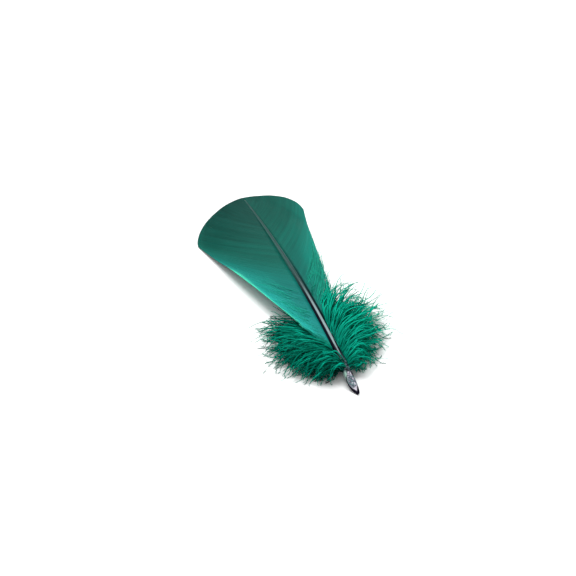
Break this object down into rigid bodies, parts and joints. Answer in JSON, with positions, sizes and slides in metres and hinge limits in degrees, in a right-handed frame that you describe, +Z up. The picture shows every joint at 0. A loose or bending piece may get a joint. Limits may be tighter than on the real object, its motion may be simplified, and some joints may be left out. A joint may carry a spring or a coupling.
{
  "type": "goose quill feather",
  "caption": "Dyed goose feather lying flat: bare quill with an oblique cut, arched shaft, a broad and a narrower vane with a blunt tip, and fans of down beside the quill.",
  "frame": {"origin": "on the surface that the feather lies on, under the middle of its bounding box", "axes": "+Y from the quill's cut end to the tip of the vanes, +Z up, away from the surface, with the feather's outer side up, +X to the narrower vane"},
  "size_m": [0.0472, 0.121, 0.008],
  "materials": {
    "quill": "glossy horn (keratin), dyed dark purple, paler along the shaft's back, with pale mottled pith in the cut",
    "vane": "silky barbs hooked into a sheet, dyed blue-green, darker at the tip",
    "down": "matte loose down, dyed emerald"
  },
  "bodies": {
    "root": {"quill_shaft": "quill", "left_vane": "vane", "right_vane": "vane", "left_down": "down", "right_down": "down"}
  },
  "joints": []
}
